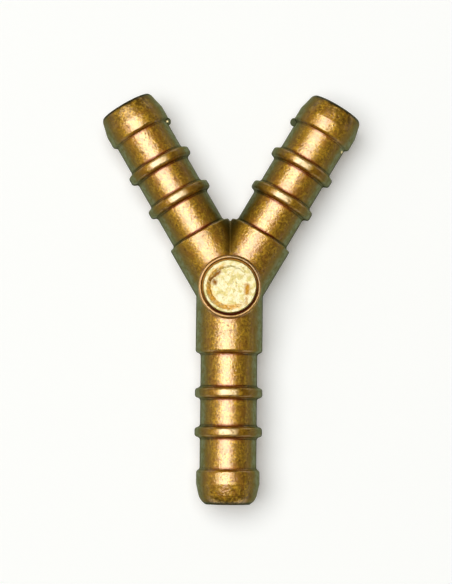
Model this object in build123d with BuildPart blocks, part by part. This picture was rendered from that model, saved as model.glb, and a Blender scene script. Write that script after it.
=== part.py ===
from build123d import *
from dataclasses import dataclass
from math import atan2, copysign, cos, radians, sin, tan
import os

os.makedirs("parts", exist_ok=True)

# Three-way (Y) hose barb: one hot-forged brass piece, drilled from its three mouths.
# It lies on its back pad. +Z is up, the stem points to -Y and the two arms to +Y. The origin is
# on the back pad, straight under the point where the three bores meet.
# All sizes are in millimetres and all angles in degrees.

# The hose and the plain tube that it is pushed over
hose_diameter = 10.0
tube_undersize = 0.7
wall = 1.4

# The three legs, each measured from the junction to its mouth
arm_angle = 30.4
arm_reach = 35.0
stem_reach = 36.1

# Hose ribs, as many as the tube has room for, counted from the collar
rib_height = 0.9
rib_width = 1.9
rib_flank_angle = 70.0
rib_crest_radius = 0.45
rib_to_collar = 6.1
rib_pitch = 6.5
rib_clearance = 1.5
root_radius = 0.2

# End collar: a steep rise, a round land, a taper and a rounded nose
collar_height = 0.62
collar_rise = 0.35
collar_land = 2.1
collar_taper = 13.0
collar_edge_radius = 0.4
arm_collar_length = 5.4
arm_nose_length = 0.6
arm_rim_width = 0.85
stem_collar_length = 5.85
stem_nose_length = 1.6
stem_rim_width = 0.15

# Thick hub round the junction, with a short shoulder down to each tube
hub_step = 0.85
hub_past_crotch = 0.75
arm_shoulder_length = 0.2
arm_shoulder_radius = 0.25
stem_hub_length = 10.8
stem_shoulder_length = 0.4
stem_shoulder_radius = 0.5
crotch_radius = 0.22
crease_radius = 1.0

# Round pad on both faces of the hub: an outer ring, a groove and a raised, shallow-dished disc
pad_setback = 0.3
ring_inset = 0.35
ring_width = 0.45
ring_rise = 0.45
ring_edge_radius = 0.2
pad_draft = 3.0
pad_root_radius = 0.2
groove_width = 0.33
groove_depth = 0.35
groove_flank = 0.07
disc_rise = 0.35
disc_edge_radius = 0.15
dish_floor_radius = 3.1
dish_depth = 0.12
dish_slope = 12.0
dish_tilt = 1.0
dish_tilt_direction = 225.0

# Trimmed seam where the two forging dies met, and the stub left of it beside each arm's collar
seam_height = 0.06
seam_width = 0.4
seam_root_radius = 0.5
stub_radius = 0.7
stub_past_foot = -0.15
left_stub_height = 0.15
right_stub_height = 0.4

# Drilled passages
drill_point_angle = 118.0
mouth_chamfer = 0.25

# Sizes that follow
tube_radius = (hose_diameter - tube_undersize) / 2
bore_radius = tube_radius - wall
collar_radius = tube_radius + collar_height
hub_radius = tube_radius + hub_step
arm_hub_length = hub_radius / tan(radians(arm_angle)) + hub_past_crotch
ring_radius = hub_radius - ring_inset
disc_radius = ring_radius - ring_width - groove_width
ring_top = hub_radius + ring_rise
disc_top = ring_top + disc_rise
junction_height = disc_top
junction = Vector(0, 0, junction_height)
pad_centre = junction - Vector(0, pad_setback, 0)
mid_plane = Plane(origin=junction, x_dir=(1, 0, 0), z_dir=(0, 0, 1))
on_centre = 0.001


@dataclass
class Leg:
    """One hose tail with its share of the hub."""

    angle: float
    reach: float
    hub_length: float
    shoulder_length: float
    shoulder_radius: float
    collar_length: float
    nose_length: float
    rim_width: float

    @property
    def direction(self):
        """Outward along the leg's axis."""
        return Vector(sin(radians(self.angle)), cos(radians(self.angle)), 0)

    @property
    def plane(self):
        """Parting plane seen along the leg: local X is the axis, local Y the radius."""
        return Plane(origin=junction, x_dir=self.direction, z_dir=(0, 0, 1))

    @property
    def axis(self):
        """Axis of the leg's bore."""
        return Axis(junction, self.direction)

    @property
    def collar_foot(self):
        """Distance from the junction to where the collar rises from the tube."""
        return self.reach - self.collar_length

    @property
    def land_middle(self):
        """Distance from the junction to the middle of the collar's land."""
        return self.collar_foot + collar_rise + collar_land / 2

    @property
    def ribs(self):
        """Distance of each rib from the junction, the outermost first."""
        outermost = self.collar_foot - rib_to_collar
        innermost = self.hub_length + self.shoulder_length + rib_width / 2 + rib_clearance
        count = 1 + int((outermost - innermost) / rib_pitch)
        return [outermost - index * rib_pitch for index in range(count)]


left_arm = Leg(
    -arm_angle, arm_reach, arm_hub_length, arm_shoulder_length, arm_shoulder_radius,
    arm_collar_length, arm_nose_length, arm_rim_width,
)
right_arm = Leg(
    arm_angle, arm_reach, arm_hub_length, arm_shoulder_length, arm_shoulder_radius,
    arm_collar_length, arm_nose_length, arm_rim_width,
)
stem = Leg(
    180, stem_reach, stem_hub_length, stem_shoulder_length, stem_shoulder_radius,
    stem_collar_length, stem_nose_length, stem_rim_width,
)
legs = [left_arm, right_arm, stem]


def at_radius(points, radius, start, end):
    """The vertices of a profile at this height over its local X axis, from start to end along it."""
    level = points.filter_by_position(Axis.Y, radius - on_centre, radius + on_centre)
    return level.filter_by_position(Axis.X, start - on_centre, end + on_centre)


def flank_shift(rise, run, skin):
    """How far a sloping flank moves along the leg when its outline stands off by a skin."""
    return skin * tan(atan2(rise, run) / 2)


def is_upright(face):
    """Whether a round face turns about a vertical axis."""
    return face.axis_of_rotation.is_parallel(Axis.Z)


def shank_profile(leg, skin=0.0, foot_radius=root_radius):
    """Half outline of one leg from the junction to the middle of its collar's land.

    A skin makes it stand that much proud of the hub, tube and ribs, and sink as much under the land.
    """
    hub_top = hub_radius + skin
    tube_top = tube_radius + skin
    crest_top = tube_top + rib_height
    land_top = collar_radius - skin
    hub_end = leg.hub_length + flank_shift(hub_step, leg.shoulder_length, skin)
    tube_start = hub_end + leg.shoulder_length
    tube_end = leg.collar_foot - flank_shift(collar_height, collar_rise, skin)
    land_start = tube_end + collar_rise
    rib_foot_width = rib_width + 2 * skin * tan(radians(rib_flank_angle / 2))
    with BuildSketch() as profile:
        Polygon(
            (0, 0),
            (0, hub_top),
            (hub_end, hub_top),
            (tube_start, tube_top),
            (tube_end, tube_top),
            (land_start, land_top),
            (leg.land_middle, land_top),
            (leg.land_middle, 0),
            align=None,
        )
        with Locations(*[(distance, tube_top) for distance in leg.ribs]):
            Trapezoid(rib_foot_width, rib_height, rib_flank_angle, align=(Align.CENTER, Align.MIN))
        fillet(at_radius(profile.vertices(), tube_top, tube_start, tube_end), foot_radius)
        fillet(at_radius(profile.vertices(), crest_top, tube_start, tube_end), rib_crest_radius + skin)
        fillet(at_radius(profile.vertices(), hub_top, hub_end, hub_end), leg.shoulder_radius + skin)
        fillet(at_radius(profile.vertices(), land_top, land_start, land_start), collar_edge_radius)
    return profile.sketch


def nose_profile(leg):
    """Half outline of the rest of the collar: the outer half of its land, the taper and the nose."""
    land_end = leg.collar_foot + collar_rise + collar_land
    nose_start = leg.reach - leg.nose_length
    nose_top = collar_radius - (nose_start - land_end) * tan(radians(collar_taper))
    rim_radius = bore_radius + mouth_chamfer + leg.rim_width
    with BuildSketch() as profile:
        with BuildLine():
            Polyline(
                (leg.reach, rim_radius),
                (leg.reach, 0),
                (leg.land_middle, 0),
                (leg.land_middle, collar_radius),
                (land_end, collar_radius),
                (nose_start, nose_top),
            )
            TangentArc(
                (nose_start, nose_top),
                (leg.reach, rim_radius),
                tangent=(cos(radians(collar_taper)), -sin(radians(collar_taper))),
            )
        make_face()
        fillet(at_radius(profile.vertices(), collar_radius, land_end, land_end), collar_edge_radius)
    return profile.sketch


def pad_profile():
    """Half section of one pad: radius along local X, height above the mid-plane along local Y."""
    groove_outer = disc_radius + groove_width
    with BuildSketch() as profile:
        Polygon(
            (0, 0),
            (ring_radius + ring_top * tan(radians(pad_draft)), 0),
            (ring_radius, ring_top),
            (groove_outer, ring_top),
            (groove_outer - groove_flank, ring_top - groove_depth),
            (disc_radius + groove_flank, ring_top - groove_depth),
            (disc_radius, disc_top),
            (0, disc_top),
            align=None,
        )
        fillet(at_radius(profile.vertices(), ring_top, groove_outer, ring_radius), ring_edge_radius)
        fillet(at_radius(profile.vertices(), disc_top, disc_radius, disc_radius), disc_edge_radius)
    return profile.sketch


def drill_profile(leg):
    """Half outline of the drill: point past the junction, chamfer at the mouth."""
    point_length = bore_radius / tan(radians(drill_point_angle / 2))
    with BuildSketch() as profile:
        Polygon(
            (-point_length, 0),
            (leg.reach, 0),
            (leg.reach, bore_radius + mouth_chamfer),
            (leg.reach - mouth_chamfer, bore_radius),
            (0, bore_radius),
            align=None,
        )
    return profile.sketch


# The whole forging
with BuildPart() as hose_barb_body:
    for leg in legs:
        with BuildSketch(leg.plane):
            add(shank_profile(leg))
            add(nose_profile(leg))
        revolve(axis=leg.axis)

    # Pads on the front and the back, joined through the hub
    with BuildSketch(Plane(origin=pad_centre, x_dir=(1, 0, 0), z_dir=(0, -1, 0))):
        add(pad_profile())
        mirror(about=Plane.XZ)
    revolve(axis=Axis(pad_centre, (0, 0, 1)))

    # Rounded valley between the two arms, and the shallow creases from each arm to the stem
    meeting_lines = hose_barb_body.edges().filter_by(GeomType.ELLIPSE)
    valley = meeting_lines.filter_by_position(Axis.X, -on_centre, on_centre)
    fillet(valley.filter_by_position(Axis.Y, 0, arm_reach), crotch_radius)
    meeting_lines = hose_barb_body.edges().filter_by(GeomType.ELLIPSE)
    fillet(meeting_lines.filter_by_position(Axis.Y, -hub_radius, 0), crease_radius)

    # Rounded foot of each pad on the hub
    pad_walls = hose_barb_body.faces().filter_by(GeomType.CONE).filter_by(is_upright)
    fillet(pad_walls.edges().filter_by(GeomType.BSPLINE), pad_root_radius)

    # Shallow dish in the disc of each pad, pressed a little deeper towards one side
    tilt = Rotation(0, 0, dish_tilt_direction) * Rotation(0, dish_tilt, 0)
    dish_floor = Pos(0, 0, disc_top - dish_depth) * tilt
    with Locations(*[Pos(pad_centre) * Rotation(turn, 0, 0) * dish_floor for turn in (0, 180)]):
        Cone(
            dish_floor_radius,
            dish_floor_radius + disc_rise / tan(radians(dish_slope)),
            disc_rise,
            align=(Align.CENTER, Align.CENTER, Align.MIN),
            mode=Mode.SUBTRACT,
        )

    # Seam left by the trimmed flash, with the stub of it that stayed beside each arm's collar
    with BuildSketch(mid_plane) as seam:
        for leg in legs:
            with Locations(Location((0, 0, 0), (0, 0, 90 - leg.angle))):
                half = shank_profile(leg, seam_height, seam_root_radius)
                add(half)
                add(half.mirror(Plane.XZ))
        crotch = seam.vertices().filter_by_position(Axis.X, -on_centre, on_centre).sort_by(Axis.Y)[-1]
        fillet(crotch, crotch_radius - seam_height)
        for arm, stub_height in ((left_arm, left_stub_height), (right_arm, right_stub_height)):
            along = arm.collar_foot + stub_past_foot
            across = copysign(collar_radius + stub_height - stub_radius, arm.angle)
            with Locations(Rotation(0, 0, 90 - arm.angle) * Pos(along, across)):
                Circle(stub_radius)
    extrude(amount=seam_width / 2, both=True)

    for leg in legs:
        with BuildSketch(leg.plane):
            add(drill_profile(leg))
        revolve(axis=leg.axis, mode=Mode.SUBTRACT)

hose_barb_body.part.label = "hose_barb_body"
export_step(hose_barb_body.part, "parts/hose_barb_body.step")
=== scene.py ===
import bpy
from math import cos, pi, radians, sin, tan
from mathutils import Matrix, Vector


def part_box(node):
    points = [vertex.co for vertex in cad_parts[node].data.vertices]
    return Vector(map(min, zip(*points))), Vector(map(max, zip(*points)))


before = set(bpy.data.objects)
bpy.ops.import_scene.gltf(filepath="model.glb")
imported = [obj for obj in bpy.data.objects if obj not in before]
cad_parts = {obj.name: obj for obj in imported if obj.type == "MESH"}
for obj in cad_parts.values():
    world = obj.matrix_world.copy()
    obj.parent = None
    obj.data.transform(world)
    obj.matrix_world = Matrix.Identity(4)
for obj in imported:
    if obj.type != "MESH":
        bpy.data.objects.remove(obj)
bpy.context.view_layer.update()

MM = 0.001

# The photograph's frame and the camera that fits it, in millimetres of the part's frame
PHOTO_HEIGHT = 584
FOCAL_PIXELS = 2032.7
CAMERA_PLACE = Vector((-1.96, -24.96, 345.0))
CAMERA_TARGET = Vector((-0.597, -0.796, 6.3))
CAMERA_ROLL = 0.562

# Round soft lamps: tilt from straight overhead to the photo's left and top, size as seen from the
# part, and brightness
LAMP_DISTANCE = 3000.0
KEY_LAMP = {"left": 11.5, "top": 5.0, "half_angle": 25.0, "radiance": 4.7}
FILL_LAMP = {"left": 62.0, "top": 0.0, "half_angle": 18.0, "radiance": 0.12}

# The room, pale at the horizon and dim from WORLD_BLEND upwards, and the pale floor
WORLD_ABOVE = (0.075, 0.07, 0.05)
WORLD_HORIZON = (0.22, 0.25, 0.22)
WORLD_BLEND = 0.22
FLOOR_TONE = (0.93, 0.94, 0.93)
FLOOR_HALF_WIDTH = 12000.0
FLOOR_ROUGHNESS = 0.9
FLOOR_SPECULAR = 0.1
FLOOR_GLOW = 0.14

# Places on the part in millimetres
PART_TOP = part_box("hose_barb_body")[1][2] / MM
PARTING_HEIGHT = PART_TOP / 2
ARM_ANGLE = radians(30.4)
ARM_REACH = 35.0
STEM_REACH = 36.1
PAD_CENTRE = (0.0, -0.3, 0.0)
GROOVE_RADIUS = 4.53

# Direction and reach of each leg
LEGS = (
    ((sin(ARM_ANGLE), cos(ARM_ANGLE), 0), ARM_REACH),
    ((-sin(ARM_ANGLE), cos(ARM_ANGLE), 0), ARM_REACH),
    ((0, -1, 0), STEM_REACH),
)

# Wear marks on the front disc: start and end from the pad's centre, half width and strength
MARKS = (
    ((-2.51, 0.73, 0), (-2.45, 0.66, 0), 0.42, 1.0),
    ((-3.3, 1.02, 0), (-2.6, 1.6, 0), 0.2, 1.0),
    ((-2.6, 1.6, 0), (-1.75, 2.3, 0), 0.24, 1.0),
    ((-1.78, 2.25, 0), (-1.7, 2.36, 0), 0.3, 0.8),
    ((2.84, 0.1, 0), (2.84, -1.0, 0), 0.42, 0.95),
    ((2.75, -1.9, 0), (2.75, -2.9, 0), 0.2, 0.6),
    ((1.08, 0.09, 0), (1.1, 0.07, 0), 0.15, 0.4),
)
MARK_EDGE = (0.2, 1.8)

# Bright nicks beside the arms' collars: place and radius. They are taller than wide.
NICKS = (
    ((18.55, 22.75, 7.5), 0.2),
    ((-10.75, 27.8, 6.9), 0.2),
)
NICK_HEIGHT_SHARE = 4.0
NICK_EDGE = (0.5, 1.5)

# Noises in the metal: millimetres between blobs, fineness, and how far the pattern is shifted
GRAIN = {"size": 0.38, "detail": 3.0, "roughness": 0.65}
MOTTLE = {"size": 0.9, "detail": 3.0, "roughness": 0.6}
PATCHES = {"size": 4.0, "detail": 3.0}
BLOTCHES = {"size": 1.7, "detail": 3.0, "shift": (7.0, 43.0, 11.0)}
SPECKS = {"size": 0.55, "shift": (31.0, 17.0, 5.0)}
WOBBLE_SIZE = 0.5
WOBBLE_REACH = 0.5

# Spans of those noises, each of 0 to 1, over which a tone or share changes
GRAIN_TONES = (0.34, 0.66)
GRAIN_GLOSS = (0.3, 0.7)
MOTTLE_TONES = (0.42, 0.66)
PATCH_TONES = (0.4, 0.65)
BLOTCH_TONES = (0.46, 0.66)
STAIN_MOTTLE = (0.42, 0.6)
SIDE_REFLECTION_MOTTLE = (0.42, 0.6)
END_MOTTLE = (0.34, 0.7)
BAND_MOTTLE = (0.3, 0.6)
BAND_GRAIN = (0.35, 0.6)
PIT_SPECKS = (0.62, 0.7)

# Spans round a leg for the painted shade, painted reflection and painted highlight, by the sine of the
# angle above the seam: 0 at the seam, 1 on the top line
SHADE_RISE = (0.62, 0.925)
SIDE_REFLECTION_RISE = (0.41, 0.73)
EDGE_SHADE_RISE = (0.05, 0.3)
LIT_RISE = (0.75, 0.96)
CREST_HIGHLIGHT_RISE = (0.94, 0.99)
RIB_SIDE_SHADE_RISE = (0.92, 0.985)

# Spans in millimetres: to the front, from the middle line, up, back from a mouth, round a leg and
# round the pad's centre
JUNCTION_SPAN = (-3.0, 1.0)
VALLEY_SHADE_START = (4.8, 5.6)
VALLEY_SHADE_WIDTH = (0.0, 1.9)
SEAM_WIDTH = (0.2, 0.4)
PAD_SIDES = (PARTING_HEIGHT - 0.9, PARTING_HEIGHT - 0.6)
PAD_FRONT = (PART_TOP - 0.6, PART_TOP - 0.5)
END_LENGTHS = (3.6, 0.3)
RIM_SHADOW_LENGTHS = (0.6, 0.2)
RIB_RADII = (5.32, 5.5)
RIBS_START = (13.0, 13.5)
DISC_EDGE = (GROOVE_RADIUS - 0.2, GROOVE_RADIUS)
RING_EDGE = (GROOVE_RADIUS, GROOVE_RADIUS + 0.2)
GROOVE_HALF_WIDTH = (0.1, 0.24)
RING_INSIDE = (4.9, 5.1)
PAD_FOOT = (6.2, 6.8)
SLOPE_START = (2.8, 3.3)
SLOPE_END = (3.7, 4.0)

# How open a surface is to its surroundings, out to OPEN_REACH; shade is painted in corners and the
# groove where it is low. The shallow pad counts as more open.
OPEN_REACH = 0.8
OPEN_SAMPLES = 24
PAD_OPENNESS = 0.24
CORNER_SHADE_OPENNESS = (0.8, 0.91)
FRINGE_REFLECTION_OPENNESS = (0.88, 0.99)

# Directions on the pad, and the stretches along them over which its tones change
LEFT = (-1, 0, 0)
RIGHT = (1, 0, 0)
LOWER_LEFT = (-0.64, -0.77, 0)
UPPER_RIGHT = (0.8, 0.6, 0)
LOWER_RIGHT = (0.3, -0.95, 0)
BAND_LEFT = (-0.5, 2.5)
BAND_LOWER_LEFT = (-0.5, 3.0)
RING_TURN = (0.0, 4.0)
GROOVE_SHADE_TURN = (-4.0, 4.0)
MARK_TURN = (-1.0, 1.5)

# Tones of the clean metal, with a painted highlight on the rib crests and painted shade on the ribs'
# shoulders
GRAIN_DARK = (0.40, 0.17, 0.004)
GRAIN_LIGHT = (1.0, 0.60, 0.035)
MOTTLE_TONE = (0.42, 0.20, 0.004)
PATCH_TONE = (0.68, 0.37, 0.01)
BLOTCH_TONE = (0.52, 0.19, 0.012)
CREST_HIGHLIGHT_TONE = (1.0, 0.80, 0.42)
RIB_SIDE_SHADE_TONE = (0.40, 0.19, 0.008)
DISC_TONE = (0.42, 0.38, 0.12)
RING_LIGHT = (0.42, 0.21, 0.05)
RING_DARK = (0.20, 0.10, 0.02)
NICK_TONE = (1.0, 0.85, 0.45)
GLANCING_TINT = (0.5, 0.55, 0.4)

# Tones of stains, pits and wear marks, of the darker mouths and the dish's slope, and of painted
# shade, painted shadow and painted reflection
STAIN_TONE = (0.40, 0.31, 0.02)
SHADE_TONE = (0.17, 0.11, 0.01)
SIDE_REFLECTION_DARK = (0.14, 0.15, 0.055)
SIDE_REFLECTION_LIGHT = (0.21, 0.245, 0.135)
EDGE_SHADE_TONE = (0.05, 0.06, 0.035)
PIT_TONE = (0.16, 0.07, 0.008)
VALLEY_SHADE_AND_END_TONE = (0.15, 0.085, 0.008)
FRINGE_REFLECTION_TONE = (0.55, 0.15, 0.012)
GROOVE_SHADE_LIGHT = (0.30, 0.13, 0.02)
GROOVE_SHADE_DARK = (0.06, 0.008, 0.003)
ROOT_SHADE_ON_SIDES = (0.07, 0.06, 0.02)
ROOT_SHADE_IN_LIGHT = (0.13, 0.014, 0.002)
ROOT_SHADE_IN_VALLEY = (0.15, 0.09, 0.012)
RIM_SHADOW_TONE = (0.03, 0.035, 0.025)
SEAM_SHADE_TONE = (0.05, 0.06, 0.03)
BAND_DARK = (0.45, 0.18, 0.008)
BAND_LIGHT = (0.75, 0.36, 0.02)
MARK_LEFT = (0.20, 0.075, 0.004)
MARK_RIGHT = (0.36, 0.16, 0.005)

# Strengths of shares that stop short of 0 or 1
VALLEY_SHADE_STRENGTH = 0.8
EDGE_SHADE_STRENGTH = 0.8
FRINGE_REFLECTION_STRENGTH = 0.55
LEFT_BAND_STRENGTH = 0.7
BAND_STRENGTHS = (0.45, 0.9)
PAD_FOOT_SHARE = 0.3
VALLEY_FLOOR_SHARE = 0.4
PITS_ON_DISC = 0.3

# The shine: roughness of the metal, and its harder, glossier coat where no tarnish, wear or painted
# shade dulls it
METAL_ROUGHNESS = (0.5, 0.58)
COAT_ROUGHNESS = 0.2
COAT_IOR = 2.05
MOTTLE_DEPTH = 0.035
GRAIN_DEPTH = 0.07


def look_matrix(place, target, roll=0.0):
    """Matrix of a lamp or camera at place that looks at target with the photo's top up."""
    backward = (place - target).normalized()
    right = Vector((0, 1, 0)).cross(backward).normalized()
    turn = Matrix((right, backward.cross(right), backward)).transposed()
    turn = turn @ Matrix.Rotation(radians(roll), 3, "Z")
    return Matrix.Translation(place * MM) @ turn.to_4x4()


def add_object(name, data):
    made = bpy.data.objects.new(name, data)
    bpy.context.scene.collection.objects.link(made)
    return made


class Nodes:
    """Short calls for building a node tree."""

    def __init__(self, tree):
        self.tree = tree

    def node(self, kind, **settings):
        made = self.tree.nodes.new(kind)
        for key, value in settings.items():
            setattr(made, key, value)
        return made

    def link(self, value, socket):
        """Feed a socket with another node's output or with a value. Tones are opaque."""
        if isinstance(value, bpy.types.NodeSocket):
            self.tree.links.new(value, socket)
        elif socket.type == "RGBA":
            socket.default_value = (*value, 1)
        else:
            socket.default_value = value

    def position(self):
        """Place on the part in millimetres."""
        coordinates = self.node("ShaderNodeTexCoord").outputs["Object"]
        return self.vector("SCALE", coordinates, scale=1 / MM)

    def vector(self, operation, first, second=None, scale=None):
        made = self.node("ShaderNodeVectorMath", operation=operation)
        self.link(first, made.inputs[0])
        if second is not None:
            self.link(second, made.inputs[1])
        if scale is not None:
            self.link(scale, made.inputs["Scale"])
        return made.outputs["Value" if operation in ("LENGTH", "DOT_PRODUCT") else "Vector"]

    def part_of(self, place, axis):
        """The X, Y or Z coordinate of a place or direction."""
        split = self.node("ShaderNodeSeparateXYZ")
        self.link(place, split.inputs[0])
        return split.outputs[axis]

    def along(self, place, direction):
        """How far a place lies along a direction of length 1."""
        return self.vector("DOT_PRODUCT", place, direction)

    def length(self, place):
        return self.vector("LENGTH", place)

    def to_line(self, place, start, end):
        """Distance from a place to the stretch between two points."""
        span = Vector(end) - Vector(start)
        offset = self.vector("SUBTRACT", place, start)
        share = self.along(offset, tuple(span / span.length_squared))
        share = self.math("MINIMUM", self.most(share, 0.0), 1.0)
        nearest = self.vector("SCALE", tuple(span), scale=share)
        return self.length(self.vector("SUBTRACT", offset, nearest))

    def noise_node(self, place, size):
        """Noise whose blobs are about this many millimetres apart."""
        made = self.node("ShaderNodeTexNoise")
        self.link(place, made.inputs["Vector"])
        made.inputs["Scale"].default_value = 1 / size
        return made

    def noise(self, place, size, detail=2.0, roughness=0.5, shift=None):
        """One noise of 0 to 1."""
        if shift is not None:
            place = self.vector("ADD", place, shift)
        made = self.noise_node(place, size)
        made.inputs["Detail"].default_value = detail
        made.inputs["Roughness"].default_value = roughness
        return made.outputs["Fac"]

    def rise(self, value, span, low=0.0, high=1.0):
        """Low before a value reaches the span, high after it, and a smooth change between."""
        made = self.node("ShaderNodeMapRange", interpolation_type="SMOOTHSTEP")
        self.link(value, made.inputs["Value"])
        made.inputs["From Min"].default_value = span[0]
        made.inputs["From Max"].default_value = span[1]
        made.inputs["To Min"].default_value = low
        made.inputs["To Max"].default_value = high
        return made.outputs["Result"]

    def fall(self, value, span, low=0.0, high=1.0):
        """High before a value reaches the span, low after it, and a smooth change between."""
        return self.rise(value, span, high, low)

    def math(self, operation, first, second=0.0):
        made = self.node("ShaderNodeMath", operation=operation)
        self.link(first, made.inputs[0])
        self.link(second, made.inputs[1])
        return made.outputs[0]

    def times(self, first, *others):
        """Product of two or more numbers."""
        for other in others:
            first = self.math("MULTIPLY", first, other)
        return first

    def most(self, first, *others):
        """Largest of two or more numbers."""
        for other in others:
            first = self.math("MAXIMUM", first, other)
        return first

    def less(self, first, second):
        return self.math("SUBTRACT", first, second)

    def size_of(self, value):
        return self.math("ABSOLUTE", value)

    def mix(self, amount, first, second, kind="RGBA"):
        """Tone between first and second, or number if kind is FLOAT."""
        made = self.node("ShaderNodeMix", data_type=kind)
        self.link(amount, made.inputs["Factor"])
        self.link(first, made.inputs["A"])
        self.link(second, made.inputs["B"])
        return made.outputs["Result"]

    def bump(self, height, distance, normal=None):
        """Surface normal over a height of 0 to 1 that stands for this many millimetres."""
        made = self.node("ShaderNodeBump")
        self.link(height, made.inputs["Height"])
        made.inputs["Distance"].default_value = distance * MM
        made.inputs["Strength"].default_value = 1.0
        if normal is not None:
            self.link(normal, made.inputs["Normal"])
        return made.outputs["Normal"]

    def openness(self, distance, samples):
        """1 on open surfaces, falling to 0 deep in grooves and corners narrower than this."""
        made = self.node("ShaderNodeAmbientOcclusion", samples=samples, only_local=True)
        made.inputs["Distance"].default_value = distance * MM
        return made.outputs["AO"]


def make_camera():
    data = bpy.data.cameras.new("camera")
    data.lens = FOCAL_PIXELS / PHOTO_HEIGHT * data.sensor_width
    camera = add_object("camera", data)
    camera.matrix_world = look_matrix(CAMERA_PLACE, CAMERA_TARGET, CAMERA_ROLL)
    bpy.context.scene.camera = camera


def make_lamp(name, left, top, half_angle, radiance):
    data = bpy.data.lights.new(name, "AREA")
    data.shape = "DISK"
    radius = LAMP_DISTANCE * tan(radians(half_angle)) * MM
    data.size = 2 * radius
    data.energy = radiance * pi * pi * radius**2
    place = Vector((-tan(radians(left)), tan(radians(top)), 1)).normalized() * LAMP_DISTANCE
    add_object(name, data).matrix_world = look_matrix(place, Vector((0, 0, 0)))


def make_world():
    """Dim room overhead that grows pale towards the horizon."""
    world = bpy.data.worlds.new("studio")
    world.use_nodes = True
    n = Nodes(world.node_tree)
    direction = n.node("ShaderNodeTexCoord").outputs["Generated"]
    upwards = n.rise(n.part_of(direction, "Z"), (0.0, WORLD_BLEND))
    tone = n.mix(upwards, WORLD_HORIZON, WORLD_ABOVE)
    n.link(tone, world.node_tree.nodes["Background"].inputs["Color"])
    bpy.context.scene.world = world


def make_floor():
    """Pale paper that looks a little paler to the camera and in the metal than the lamps make it."""
    data = bpy.data.meshes.new("floor")
    half = FLOOR_HALF_WIDTH * MM
    corners = [(-half, -half, 0), (half, -half, 0), (half, half, 0), (-half, half, 0)]
    data.from_pydata(corners, [], [(0, 1, 2, 3)])
    floor = add_object("floor", data)
    material = bpy.data.materials.new("floor_paper")
    material.use_nodes = True
    n = Nodes(material.node_tree)
    shader = material.node_tree.nodes["Principled BSDF"]
    n.link(FLOOR_TONE, shader.inputs["Base Color"])
    shader.inputs["Roughness"].default_value = FLOOR_ROUGHNESS
    shader.inputs["Specular IOR Level"].default_value = FLOOR_SPECULAR
    rays = n.node("ShaderNodeLightPath")
    seen = n.most(rays.outputs["Is Camera Ray"], rays.outputs["Is Glossy Ray"])
    n.link((1, 1, 1), shader.inputs["Emission Color"])
    n.link(n.times(seen, FLOOR_GLOW), shader.inputs["Emission Strength"])
    data.materials.append(material)


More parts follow.
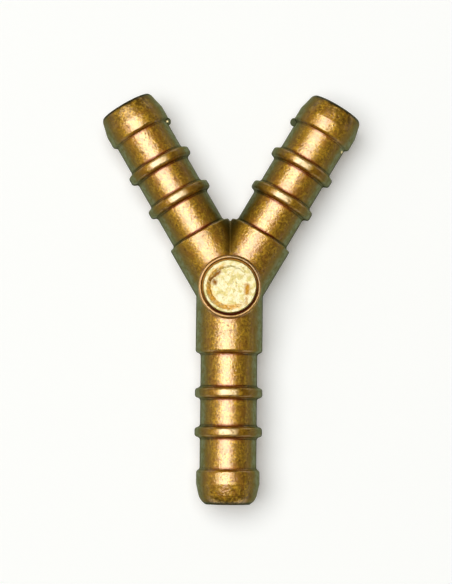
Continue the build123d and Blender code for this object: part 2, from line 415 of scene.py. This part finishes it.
class ForgedBrass(Nodes):
    """Forged brass whose tarnish and wear, and its painted shade, shadow, reflection and highlight,
    follow the place on the part, as shares of 0 to 1.
    """

    def __init__(self):
        self.material = bpy.data.materials.new("forged_brass")
        self.material.use_nodes = True
        super().__init__(self.material.node_tree)
        self.place = self.position()
        self.grain = self.noise(self.place, **GRAIN)
        self.mottle = self.noise(self.place, **MOTTLE)
        self.measure_place()
        self.find_pad()
        self.find_sides()
        self.find_ends()
        self.find_corners()
        self.find_band()
        self.find_marks()
        self.shade_metal()

    def measure_place(self):
        """Distances from the parting plane, the middle line, the nearest axis and the pad's centre."""
        self.height = self.part_of(self.place, "Z")
        self.forward = self.part_of(self.place, "Y")
        self.from_parting = self.size_of(self.less(self.height, PARTING_HEIGHT))
        self.from_middle = self.size_of(self.part_of(self.place, "X"))
        across_arm = self.less(
            self.times(self.from_middle, cos(ARM_ANGLE)),
            self.times(self.forward, sin(ARM_ANGLE)),
        )
        on_arms = self.rise(self.forward, JUNCTION_SPAN)
        self.from_axis = self.mix(on_arms, self.from_middle, self.size_of(across_arm), "FLOAT")
        flat_place = self.vector("MULTIPLY", self.place, (1, 1, 0))
        self.in_pad = self.vector("SUBTRACT", flat_place, PAD_CENTRE)
        self.from_centre = self.length(self.in_pad)

    def find_pad(self):
        """Disc, ring and groove of the pads, and stains on the discs."""
        self.on_pad = self.rise(self.from_parting, PAD_SIDES)
        self.on_front = self.rise(self.height, PAD_FRONT)
        self.disc = self.times(self.on_pad, self.fall(self.from_centre, DISC_EDGE))
        self.ring = self.times(self.on_pad, self.rise(self.from_centre, RING_EDGE))
        self.inside_ring = self.fall(self.from_centre, RING_INSIDE)
        from_groove = self.size_of(self.less(self.from_centre, GROOVE_RADIUS))
        self.in_groove = self.fall(from_groove, GROOVE_HALF_WIDTH)
        self.stain = self.times(self.disc, self.rise(self.mottle, STAIN_MOTTLE))

    def find_sides(self):
        """Painted shade and painted reflection by how far round its leg a place lies, and a painted
        highlight on the ribs' crests with painted shade on their shoulders.
        """
        elevation = self.math("SINE", self.math("ARCTAN2", self.from_parting, self.from_axis))
        self.shade = self.less(self.fall(elevation, SHADE_RISE), self.on_pad)
        self.side_reflection = self.less(self.fall(elevation, SIDE_REFLECTION_RISE), self.on_pad)
        self.edge = self.fall(elevation, EDGE_SHADE_RISE, high=EDGE_SHADE_STRENGTH)
        self.lit = self.rise(elevation, LIT_RISE)
        self.seam = self.fall(self.from_parting, SEAM_WIDTH)
        squares = self.math("POWER", self.from_parting, 2), self.math("POWER", self.from_axis, 2)
        from_leg = self.math("SQRT", self.math("ADD", *squares))
        rib = self.times(self.rise(from_leg, RIB_RADII), self.rise(self.from_centre, RIBS_START))
        self.crest_highlight = self.times(rib, self.rise(elevation, CREST_HIGHLIGHT_RISE))
        self.rib_side_shade = self.times(rib, self.fall(elevation, RIB_SIDE_SHADE_RISE))

    def find_ends(self):
        """Painted shade in the valley between the arms, darker mottling towards the mouths, painted
        shadow on their rims, and pits.
        """
        across = self.fall(self.from_middle, VALLEY_SHADE_WIDTH, high=VALLEY_SHADE_STRENGTH)
        self.valley_shade = self.times(across, self.rise(self.forward, VALLEY_SHADE_START))
        ends = []
        rim_shadows = []
        for direction, reach in LEGS:
            out = self.along(self.place, direction)
            ends.append(self.rise(out, [reach - length for length in END_LENGTHS]))
            rim_shadows.append(self.rise(out, [reach - length for length in RIM_SHADOW_LENGTHS]))
        self.ends = self.times(self.most(*ends), self.rise(self.mottle, END_MOTTLE))
        self.rim_shadows = self.most(*rim_shadows)
        specks = self.noise(self.place, **SPECKS)
        self.pits = self.times(
            self.rise(specks, PIT_SPECKS),
            self.fall(self.disc, (0.0, 1.0), low=PITS_ON_DISC),
        )

    def find_corners(self):
        """Painted shade as dark lines in the corners and the groove, and a reddish painted reflection
        beside them.
        """
        more_open = self.times(self.on_pad, PAD_OPENNESS)
        open_share = self.math("ADD", self.openness(OPEN_REACH, OPEN_SAMPLES), more_open)
        off_pad = self.times(
            self.rise(self.from_centre, PAD_FOOT, low=PAD_FOOT_SHARE),
            self.fall(self.valley_shade, (0.0, VALLEY_SHADE_STRENGTH), low=VALLEY_FLOOR_SHARE),
        )
        self.corner_shade = self.times(
            self.fall(open_share, CORNER_SHADE_OPENNESS),
            self.mix(self.inside_ring, off_pad, self.in_groove, "FLOAT"),
        )
        self.fringe_reflection = self.times(
            self.fall(open_share, FRINGE_REFLECTION_OPENNESS, high=FRINGE_REFLECTION_STRENGTH),
            self.mix(self.inside_ring, off_pad, 0.0, "FLOAT"),
            self.lit,
        )

    def find_band(self):
        """Orange, grainy tone on the slope round the front dish, at its left and lower left."""
        lower_left = self.rise(self.along(self.in_pad, LOWER_LEFT), BAND_LOWER_LEFT)
        left = self.rise(self.along(self.in_pad, LEFT), BAND_LEFT, high=LEFT_BAND_STRENGTH)
        self.band = self.times(
            self.rise(self.from_centre, SLOPE_START),
            self.fall(self.from_centre, SLOPE_END),
            self.most(lower_left, left),
            self.rise(self.mottle, BAND_MOTTLE, *BAND_STRENGTHS),
            self.on_front,
        )

    def find_marks(self):
        """Wear marks on the front disc, with uneven outlines."""
        wobble = self.noise_node(self.place, WOBBLE_SIZE).outputs["Color"]
        wobble = self.vector("SUBTRACT", wobble, (0.5, 0.5, 0.5))
        wobble = self.vector("MULTIPLY", wobble, (WOBBLE_REACH, WOBBLE_REACH, 0))
        place = self.vector("ADD", self.in_pad, wobble)
        marks = []
        for start, end, half_width, strength in MARKS:
            span = [share * half_width for share in MARK_EDGE]
            marks.append(self.fall(self.to_line(place, start, end), span, high=strength))
        self.marks = self.times(self.most(*marks), self.on_front)

    def turned(self, direction, span, first, second):
        """Tone that changes from first to second along a direction on the pad."""
        return self.mix(self.rise(self.along(self.in_pad, direction), span), first, second)

    def cover(self, tone, layers):
        """Lay tones over each other, each given as its share, strength and tone."""
        for share, strength, layer in layers:
            tone = self.mix(self.times(share, strength), tone, layer)
        return tone

    def metal_tone(self):
        tone = self.mix(self.rise(self.grain, GRAIN_TONES), GRAIN_DARK, GRAIN_LIGHT)
        patches = self.rise(self.noise(self.place, **PATCHES), PATCH_TONES)
        blotches = self.rise(self.noise(self.place, **BLOTCHES), BLOTCH_TONES)
        return self.cover(tone, (
            (self.rise(self.mottle, MOTTLE_TONES), 0.7, MOTTLE_TONE),
            (patches, 0.35, PATCH_TONE),
            (blotches, 0.5, BLOTCH_TONE),
            # painted highlight on the rib crests
            (self.crest_highlight, 0.5, CREST_HIGHLIGHT_TONE),
            # painted shade on the ribs' shoulders, narrowing their highlight
            (self.rib_side_shade, 0.5, RIB_SIDE_SHADE_TONE),
            (self.disc, 0.85, DISC_TONE),
            (self.stain, 0.8, STAIN_TONE),
            (self.ring, 0.7, self.turned(UPPER_RIGHT, RING_TURN, RING_LIGHT, RING_DARK)),
        ))

    def painted_shade_and_pits_tone(self, tone):
        side_reflection_tone = self.mix(self.rise(self.mottle, SIDE_REFLECTION_MOTTLE), SIDE_REFLECTION_DARK, SIDE_REFLECTION_LIGHT)
        # corner shade is painted dark red where the legs are lit, grey on their sides and brown in the
        # valley
        root_shade_tone = self.mix(self.lit, ROOT_SHADE_ON_SIDES, ROOT_SHADE_IN_LIGHT)
        root_shade_tone = self.mix(self.valley_shade, root_shade_tone, ROOT_SHADE_IN_VALLEY)
        groove_shade_tone = self.turned(LOWER_RIGHT, GROOVE_SHADE_TURN, GROOVE_SHADE_LIGHT, GROOVE_SHADE_DARK)
        return self.cover(tone, (
            # painted shade on the legs' sloping sides
            (self.shade, 0.8, SHADE_TONE),
            # painted reflection, greenish grey and mottled, lower down the legs' sides
            (self.side_reflection, 0.9, side_reflection_tone),
            # painted shade in a dark band along the silhouette, near the seam
            (self.edge, 1.0, EDGE_SHADE_TONE),
            (self.pits, 0.6, PIT_TONE),
            # painted shade in the valley between the arms, and darker mottling towards the mouths
            (self.most(self.valley_shade, self.ends), 1.0, VALLEY_SHADE_AND_END_TONE),
            # reddish painted reflection beside the corner shade, on the lit tops
            (self.fringe_reflection, 1.0, FRINGE_REFLECTION_TONE),
            # painted shade in corners and the groove, the groove darker towards the lower right
            (self.corner_shade, 1.0, self.mix(self.inside_ring, root_shade_tone, groove_shade_tone)),
            # painted shadow on the mouths' rims
            (self.rim_shadows, 0.9, RIM_SHADOW_TONE),
            # painted shade along the seam
            (self.seam, 0.8, SEAM_SHADE_TONE),
        ))

    def worn_tone(self, tone):
        for nick, radius in NICKS:
            offset = self.vector("SUBTRACT", self.place, nick)
            away = self.length(self.vector("MULTIPLY", offset, (1, 1, 1 / NICK_HEIGHT_SHARE)))
            share = self.fall(away, [edge * radius for edge in NICK_EDGE])
            tone = self.cover(tone, ((share, 1.0, NICK_TONE),))
        band_tone = self.mix(self.rise(self.grain, BAND_GRAIN), BAND_DARK, BAND_LIGHT)
        return self.cover(tone, (
            (self.band, 1.0, band_tone),
            (self.marks, 1.0, self.turned(RIGHT, MARK_TURN, MARK_LEFT, MARK_RIGHT)),
        ))

    def dull_share(self):
        """How far the tarnish, the wear and the painted shade take the clean metal's shine away."""
        return self.most(
            self.seam, self.corner_shade, self.rim_shadows, self.valley_shade, self.ends, self.marks, self.band,
            self.times(self.shade, 0.9),
            self.times(self.ring, 0.55),
            self.times(self.stain, 0.5),
            self.times(self.pits, 0.8),
            self.times(self.edge, 0.8),
            self.times(self.rib_side_shade, 0.4),
        )

    def shade_metal(self):
        sockets = self.tree.nodes["Principled BSDF"].inputs
        self.link(self.worn_tone(self.painted_shade_and_pits_tone(self.metal_tone())), sockets["Base Color"])
        self.link(1.0, sockets["Metallic"])
        self.link(self.rise(self.grain, GRAIN_GLOSS, *METAL_ROUGHNESS), sockets["Roughness"])
        self.link(GLANCING_TINT, sockets["Specular Tint"])
        self.link(self.less(1.0, self.dull_share()), sockets["Coat Weight"])
        self.link(COAT_ROUGHNESS, sockets["Coat Roughness"])
        self.link(COAT_IOR, sockets["Coat IOR"])
        normal = self.bump(self.mottle, MOTTLE_DEPTH)
        normal = self.bump(self.grain, GRAIN_DEPTH, normal)
        self.link(normal, sockets["Normal"])
        self.link(normal, sockets["Coat Normal"])


make_camera()
make_lamp("key_lamp", **KEY_LAMP)
make_lamp("fill_lamp", **FILL_LAMP)
make_world()
make_floor()
bpy.context.scene.view_settings.view_transform = "Standard"

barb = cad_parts["hose_barb_body"]
barb.material_slots[0].material = ForgedBrass().material
